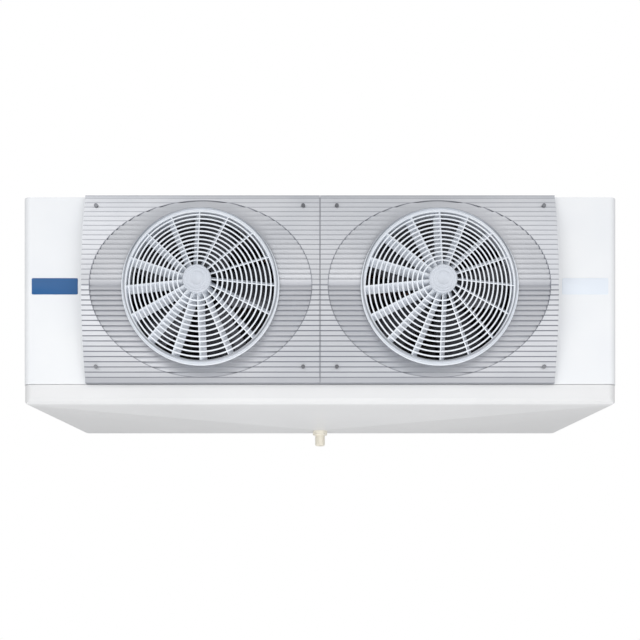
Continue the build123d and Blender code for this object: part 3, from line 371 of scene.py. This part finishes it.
# Materials, by the slots that the part's pieces name
MATERIALS = {
    "white_sheet": surface(
        "powder_coat_white", dark=(0.76, 0.78, 0.81), light=(0.80, 0.815, 0.835), rough=(0.28, 0.4),
        relief=0.08,
    ),
    # Fan panels: groove is the colour of the painted shade on the ribs, ellipses, seam and edges
    "silver_sheet": ribbed_silver_with_painted_shade(
        "ribbed_silver", dark=(0.56, 0.575, 0.61), light=(0.62, 0.63, 0.66), groove=(0.12, 0.13, 0.17),
        rough=(0.34, 0.46), metallic=0.35, patch=5, grain=500,
    ),
    "galvanised": surface(
        "galvanised_steel", dark=(0.42, 0.44, 0.46), light=(0.58, 0.60, 0.62), rough=(0.35, 0.55),
        metallic=0.9, patch=60,
    ),
    "hinge_steel": surface(
        "hinge_steel", dark=(0.50, 0.51, 0.52), light=(0.56, 0.57, 0.58), rough=(0.25, 0.4), metallic=1.0,
        stretch=BRUSHED_ACROSS,
    ),
    "screw_steel": surface(
        "screw_steel", dark=(0.16, 0.165, 0.18), light=(0.22, 0.225, 0.24), rough=(0.3, 0.45), metallic=0.9,
    ),
    # Guards: groove is the colour of the painted shade in the rim's groove
    "guard_plastic": guard_plastic_with_painted_shade(
        "guard_plastic", dark=(0.76, 0.80, 0.86), light=(0.80, 0.83, 0.88), groove=(0.10, 0.11, 0.13),
        rough=(0.3, 0.42), relief=SMOOTH_RELIEF,
    ),
    "cap_plastic": surface(
        "cap_plastic", dark=(0.55, 0.585, 0.65), light=(0.60, 0.635, 0.69), rough=(0.22, 0.34),
        relief=SMOOTH_RELIEF,
    ),
    "motor_paint": surface(
        "motor_lacquer", dark=(0.012, 0.012, 0.014), light=(0.02, 0.02, 0.022), rough=(0.35, 0.5),
    ),
    "bearing_steel": surface(
        "ground_steel", dark=(0.55, 0.55, 0.57), light=(0.62, 0.62, 0.64), rough=(0.15, 0.3), metallic=1.0,
    ),
    # Blade colour set near black: painted shade for the dark inside of the fan
    "blade_metal": surface(
        "blade_sheet", dark=(0.025, 0.026, 0.03), light=(0.06, 0.062, 0.07), rough=(0.12, 0.26), metallic=0.9,
        stretch=BRUSHED_UPRIGHT,
    ),
    "fin_metal": surface(
        "fin_aluminium", dark=(0.40, 0.41, 0.43), light=(0.50, 0.51, 0.53), rough=(0.3, 0.5), metallic=0.9,
        patch=30,
    ),
    "copper": surface(
        "copper_tube", dark=(0.42, 0.20, 0.12), light=(0.56, 0.28, 0.18), rough=(0.28, 0.5), metallic=1.0,
        patch=40,
    ),
    "box_plastic": surface(
        "box_plastic", dark=(0.38, 0.39, 0.40), light=(0.44, 0.45, 0.46), rough=(0.4, 0.55),
    ),
    "gland_plastic": surface(
        "gland_plastic", dark=(0.012, 0.012, 0.013), light=(0.02, 0.02, 0.021), rough=(0.35, 0.5),
    ),
    "drain_plastic": surface(
        "drain_plastic", dark=(0.84, 0.80, 0.70), light=(0.88, 0.85, 0.76), rough=(0.22, 0.36),
        relief=SMOOTH_RELIEF,
    ),
}
# A darker copy of the white powder coat, painted shade for the drip tray
TRAY_COAT_PAINTED_DARKER = surface(
    "powder_coat_white_painted_darker", dark=(0.70, 0.705, 0.715), light=(0.735, 0.74, 0.75), rough=(0.24, 0.34), relief=0.06,
)
BLUE_PLATE = surface(
    "blue_plate", dark=(0.004, 0.085, 0.26), light=(0.006, 0.10, 0.29), rough=(0.4, 0.52),
    relief=PLATE_RELIEF,
)
PALE_PLATE = surface(
    "pale_plate", dark=(0.70, 0.76, 0.84), light=(0.74, 0.79, 0.86), rough=(0.28, 0.4),
    relief=PLATE_RELIEF,
)

for subpart in frame["record"]["subparts"]:
    for slot in frame["nodes"][subpart["node"]].material_slots:
        slot.link = "OBJECT"
        slot.material = MATERIALS[subpart["material_slot"]]
# The drip tray takes the darker copy of the white coat, as painted shade
for slot in frame["nodes"]["drip_tray"].material_slots:
    slot.material = TRAY_COAT_PAINTED_DARKER


def piece(name, mesh, material, body):
    """A new object from a bmesh, with its material, on a body."""
    bmesh.ops.recalc_face_normals(mesh, faces=mesh.faces)
    data = bpy.data.meshes.new(name)
    mesh.to_mesh(data)
    mesh.free()
    data.materials.append(material)
    data.set_sharp_from_angle(angle=radians(SHARP_ANGLE))
    thing = bpy.data.objects.new(name, data)
    bpy.context.scene.collection.objects.link(thing)
    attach(thing, body)
    return thing


def add_block(mesh, low, high):
    """An upright block between two corners."""
    size = Vector(high) - Vector(low)
    middle = (Vector(high) + Vector(low)) / 2
    bmesh.ops.create_cube(mesh, size=1, matrix=Matrix.Translation(middle) @ Matrix.Diagonal((*size, 1)))


def add_turning(mesh, place, profile, around=ROUND_STEPS):
    """A closed profile of (radius, height) points turned about the place's Z axis."""
    loops = []
    for step in range(around):
        angle = 2 * pi * step / around
        points = [Vector((r * cos(angle), r * sin(angle), h)) for r, h in profile]
        loops.append([mesh.verts.new(place @ point) for point in points])
    for step in range(around):
        one, other = loops[step], loops[(step + 1) % around]
        for side in range(len(profile)):
            after = (side + 1) % len(profile)
            mesh.faces.new((one[side], other[side], other[after], one[after])).smooth = True


def cone_height(radius):
    """How far forward the guard's rings and vanes stand at a radius."""
    return RIM_HEIGHT + CONE_SLOPE * (COLLAR_RADIUS - radius)


def guard_plane(side):
    """The plane of a guard's flange, at its fan's axis and with its own +Z forward."""
    guard_low, guard_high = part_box(f"{side}_fan_guard")
    centre = (guard_low + guard_high) / 2
    flange = Matrix.Translation((centre.x, guard_high.y - COLLAR_DEPTH, centre.z))
    return flange @ Matrix.Rotation(pi / 2, 4, "X")


def rim_profile():
    """The guard's collar and flange: a round bead outside, then a groove and a round lip."""
    inner = COLLAR_RADIUS - COLLAR_WALL
    bead = GUARD_RADIUS - BEAD_WIDTH
    lip = bead - GROOVE_WIDTH
    return (
        (inner, -COLLAR_DEPTH), (COLLAR_RADIUS, -COLLAR_DEPTH), (COLLAR_RADIUS, 0), (GUARD_RADIUS, 0),
        (GUARD_RADIUS, BEAD_SHOULDER), (GUARD_RADIUS - BEAD_EASE, BEAD_HEIGHT - BEAD_EASE),
        (GUARD_RADIUS - BEAD_CREST, BEAD_HEIGHT), (bead + BEAD_EASE, BEAD_HEIGHT - BEAD_EASE),
        (bead, GROOVE_FLOOR), (lip, GROOVE_FLOOR), (lip - BEAD_EASE, BEAD_HEIGHT),
        (lip - LIP_CREST, RIM_HEIGHT), (lip - LIP_FALL, LIP_FALL_HEIGHT), (inner, LIP_INNER_HEIGHT),
    )


def hub_profile():
    """The guard's hub: a cup that is open to the back."""
    inner = HUB_RADIUS - HUB_WALL
    back = GUARD_RISE - HUB_DEPTH
    return (
        (AXIS_HOLE, GUARD_RISE), (HUB_RADIUS - HUB_EASE, GUARD_RISE), (HUB_RADIUS, GUARD_RISE - HUB_EASE),
        (HUB_RADIUS, back), (inner, back), (inner, GUARD_RISE - HUB_WALL), (AXIS_HOLE, GUARD_RISE - HUB_WALL),
    )


def ring_profile(number):
    """One of the guard's rings: crowned in front and narrower at the back."""
    radius = FIRST_RING + number * (LAST_RING - FIRST_RING) / (RING_COUNT - 1)
    front = cone_height(radius) - RING_SINK
    half = RING_WIDTH / 2
    middle = radius + half
    crown = RING_CROWN_SHARE * half
    back = RING_BACK_SHARE * half
    return (
        (middle - half, front - RING_SIDE_DROP), (middle - crown, front - RING_CROWN_DROP), (middle, front),
        (middle + crown, front - RING_CROWN_DROP), (middle + half, front - RING_SIDE_DROP),
        (middle + back, front - RING_DEPTH), (middle - back, front - RING_DEPTH),
    )


def add_vane(mesh, place, turn):
    """One flat raked vane from the hub to the collar."""
    shift = VANE_DEPTH * sin(radians(VANE_RAKE))
    back = VANE_DEPTH * cos(radians(VANE_RAKE))
    near = HUB_RADIUS - HUB_WALL / 2
    far = COLLAR_RADIUS - COLLAR_WALL / 2
    corners = [
        Vector((near, 0, cone_height(near))),
        Vector((far, 0, cone_height(far))),
        Vector((sqrt(far**2 - shift**2), shift, cone_height(far) - back)),
        Vector((sqrt(near**2 - shift**2), shift, cone_height(near) - back)),
    ]
    half = (corners[1] - corners[0]).cross(corners[3] - corners[0]).normalized() * VANE_SHEET / 2
    spin = place @ Matrix.Rotation(turn, 4, "Z")
    one = [mesh.verts.new(spin @ (corner + half)) for corner in corners]
    other = [mesh.verts.new(spin @ (corner - half)) for corner in corners]
    mesh.faces.new(one)
    mesh.faces.new(other[::-1])
    for side in range(4):
        after = (side + 1) % 4
        mesh.faces.new((one[after], one[side], other[side], other[after]))


# Fan guards
for side in ("left", "right"):
    guard = bmesh.new()
    place = guard_plane(side)
    add_turning(guard, place, rim_profile())
    add_turning(guard, place, hub_profile())
    for number in range(RING_COUNT):
        add_turning(guard, place, ring_profile(number))
    for number in range(VANE_COUNT):
        add_vane(guard, place, 2 * pi * number / VANE_COUNT)
    moulding = piece(f"{side}_guard_moulding", guard, MATERIALS["guard_plastic"], "casing")
    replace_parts(moulding, f"{side}_fan_guard")


def plate_outline(x, z):
    """Corner points of a plate about its middle, with each corner rounded in a few steps."""
    outline = []
    for across, up, start in ((1, 1, 0), (-1, 1, 90), (-1, -1, 180), (1, -1, 270)):
        for step in range(PLATE_CORNER_STEPS + 1):
            angle = radians(start + 90 * step / PLATE_CORNER_STEPS)
            outline.append((
                x + across * (PLATE_WIDTH / 2 - PLATE_CORNER) + PLATE_CORNER * cos(angle),
                z + up * (PLATE_HEIGHT / 2 - PLATE_CORNER) + PLATE_CORNER * sin(angle),
            ))
    return outline


def add_plate(mesh, x, z, front):
    """A thin upright plate with round corners and an eased front edge, facing -Y."""
    outline = plate_outline(x, z)
    rows = []
    square = front - PLATE_SHEET * PLATE_SQUARE_SHARE
    for inset, y in ((0, front), (0, square), (PLATE_EASE, front - PLATE_SHEET)):
        shrink = 1 - 2 * inset / PLATE_HEIGHT
        rows.append([mesh.verts.new((x + (px - x) * shrink, y, z + (pz - z) * shrink)) for px, pz in outline])
    mesh.faces.new(rows[0])
    mesh.faces.new(rows[2][::-1])
    for low, high in zip(rows, rows[1:]):
        for side in range(len(outline)):
            after = (side + 1) % len(outline)
            mesh.faces.new((low[side], high[side], high[after], low[after]))


# Blank plates on the end covers
cover_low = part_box("left_end_cover")[0]
for side, sign, finish in (("left", -1, BLUE_PLATE), ("right", 1, PALE_PLATE)):
    plate = bmesh.new()
    add_plate(plate, sign * PLATE_X, PLATE_Z, cover_low.y)
    piece(f"{side}_blank_plate", plate, finish, "casing")

# Fine fins: the coil's real pitch, between its top and bottom plates
fin_low, fin_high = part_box("coil_fins")
fins = bmesh.new()
count = int((fin_high.x - fin_low.x) / FINE_FIN_PITCH)
for number in range(1, count):
    x = fin_low.x + number * (fin_high.x - fin_low.x) / count
    add_block(fins, (x - FINE_FIN_SHEET / 2, fin_low.y + FIN_SETBACK, fin_low.z + FIN_INSET),
              (x + FINE_FIN_SHEET / 2, fin_high.y - FIN_SETBACK, fin_high.z - FIN_INSET))
piece("fine_fins", fins, MATERIALS["fin_metal"], "casing")


def cap_profile():
    """A hub cap: two plain raised rings in a shallow dish, inside a raised rim."""
    dish = CAP_FRONT - DISH_DEPTH
    edge = CAP_FRONT - CAP_CHAMFER
    rim = CAP_RADIUS - CAP_CHAMFER
    inner = CAP_RADIUS - CAP_WALL
    profile = [(AXIS_HOLE, dish)]
    for radius in (*HUB_RING_RADII, rim):
        profile += [
            (radius - 2 * HUB_RING_WIDTH, dish), (radius - HUB_RING_WIDTH, CAP_FRONT), (radius, CAP_FRONT),
        ]
        if radius < rim:
            profile.append((radius + HUB_RING_WIDTH, dish))
    profile += [
        (CAP_RADIUS, edge), (CAP_RADIUS, GUARD_RISE), (inner, GUARD_RISE), (inner, edge), (AXIS_HOLE, edge),
    ]
    return profile


# Hub caps
caps = bmesh.new()
for side in ("left", "right"):
    add_turning(caps, guard_plane(side), cap_profile(), CAP_STEPS)
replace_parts(piece("hub_cap_discs", caps, MATERIALS["cap_plastic"], "casing"), "hub_caps")


def wire_profile(radius, wire):
    """The round section of a wire that runs at a radius."""
    turns = [2 * pi * side / WIRE_SIDES for side in range(WIRE_SIDES)]
    return [(radius + wire * cos(turn), wire * sin(turn)) for turn in turns]


# Drain fitting: six-sided collar, then close rings for the thread
drain_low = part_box("drain_fitting")[0]
collar = bmesh.new()
add_turning(collar, Matrix.Translation((0, 0, drain_low.z + SPOUT_LENGTH)), (
    (SPOUT_RADIUS, 0), (DRAIN_COLLAR_RADIUS, 0),
    (DRAIN_COLLAR_RADIUS, DRAIN_COLLAR_EASE - DRAIN_COLLAR_HEIGHT),
    (DRAIN_COLLAR_RADIUS - DRAIN_COLLAR_EASE, -DRAIN_COLLAR_HEIGHT), (SPOUT_RADIUS, -DRAIN_COLLAR_HEIGHT),
), DRAIN_COLLAR_SIDES)
piece("drain_collar", collar, MATERIALS["drain_plastic"], "tray")
thread = bmesh.new()
for turn in range(THREAD_TURNS):
    height = Matrix.Translation((0, 0, drain_low.z + THREAD_START + turn * THREAD_PITCH))
    add_turning(thread, height, wire_profile(SPOUT_RADIUS, THREAD_WIRE), WIRE_STEPS)
piece("drain_thread", thread, MATERIALS["drain_plastic"], "tray")


def pale_ground():
    """White to the camera, a plain pale surface to everything else."""
    material, tree, shader = new_material("pale_floor")
    shader.inputs["Base Color"].default_value = (FLOOR_GREY, FLOOR_GREY, FLOOR_GREY, 1)
    shader.inputs["Roughness"].default_value = FLOOR_ROUGHNESS
    rays = tree.nodes.new("ShaderNodeLightPath")
    glow = tree.nodes.new("ShaderNodeEmission")
    glow.inputs["Strength"].default_value = 1
    mix = tree.nodes.new("ShaderNodeMixShader")
    tree.links.new(rays.outputs["Is Camera Ray"], mix.inputs["Fac"])
    tree.links.new(shader.outputs["BSDF"], mix.inputs[1])
    tree.links.new(glow.outputs["Emission"], mix.inputs[2])
    tree.links.new(mix.outputs["Shader"], tree.nodes["Material Output"].inputs["Surface"])
    return material


# Floor
floor = bmesh.new()
bmesh.ops.create_grid(floor, x_segments=1, y_segments=1, size=FLOOR_SIZE / 2)
floor_data = bpy.data.meshes.new("floor")
floor.to_mesh(floor_data)
floor.free()
floor_data.materials.append(pale_ground())
floor_object = bpy.data.objects.new("floor", floor_data)
floor_object.location = (0, 0, FLOOR_Z)
bpy.context.scene.collection.objects.link(floor_object)

# World: white behind, softer light on the object
world = bpy.data.worlds.new("studio")
bpy.context.scene.world = world
world.use_nodes = True
sky = world.node_tree
back = sky.nodes["Background"]
back.inputs["Color"].default_value = (1, 1, 1, 1)
back.inputs["Strength"].default_value = SKY_STRENGTH
front = sky.nodes.new("ShaderNodeBackground")
front.inputs["Color"].default_value = (1, 1, 1, 1)
front.inputs["Strength"].default_value = 1
rays = sky.nodes.new("ShaderNodeLightPath")
mix = sky.nodes.new("ShaderNodeMixShader")
sky.links.new(rays.outputs["Is Camera Ray"], mix.inputs["Fac"])
sky.links.new(back.outputs["Background"], mix.inputs[1])
sky.links.new(front.outputs["Background"], mix.inputs[2])
sky.links.new(mix.outputs["Shader"], sky.nodes["World Output"].inputs["Surface"])


def add_lamp(name, place, watts):
    """A soft square lamp at a place, aimed at the object."""
    lamp = bpy.data.lights.new(name, "AREA")
    lamp.shape = "SQUARE"
    lamp.size = LAMP_SIZE
    lamp.energy = watts
    holder = bpy.data.objects.new(name, lamp)
    holder.location = place
    holder.rotation_euler = (Vector(LAMP_TARGET) - Vector(place)).to_track_quat("-Z", "Y").to_euler()
    bpy.context.scene.collection.objects.link(holder)


# Lamps: one at each side of the camera and one from below
add_lamp("key", place=(-1.8, -3.0, 1.2), watts=31)
add_lamp("fill", place=(1.8, -2.8, 0.6), watts=19)
add_lamp("under", place=(0, -1.2, -2.2), watts=40)

# Camera: level, below the unit, shifted up so that its uprights stay parallel
camera = bpy.data.cameras.new("camera")
camera.sensor_width = SENSOR_MM
camera.lens = SENSOR_MM * FOCAL_PIXELS / IMAGE_WIDTH
camera.shift_y = (HORIZON_ROW - IMAGE_WIDTH / 2) / IMAGE_WIDTH
camera_object = bpy.data.objects.new("camera", camera)
camera_object.location = (0, CAMERA_Y, CAMERA_Z)
camera_object.rotation_euler = (pi / 2, 0, 0)
bpy.context.scene.collection.objects.link(camera_object)
bpy.context.scene.camera = camera_object
bpy.context.scene.view_settings.view_transform = "Standard"
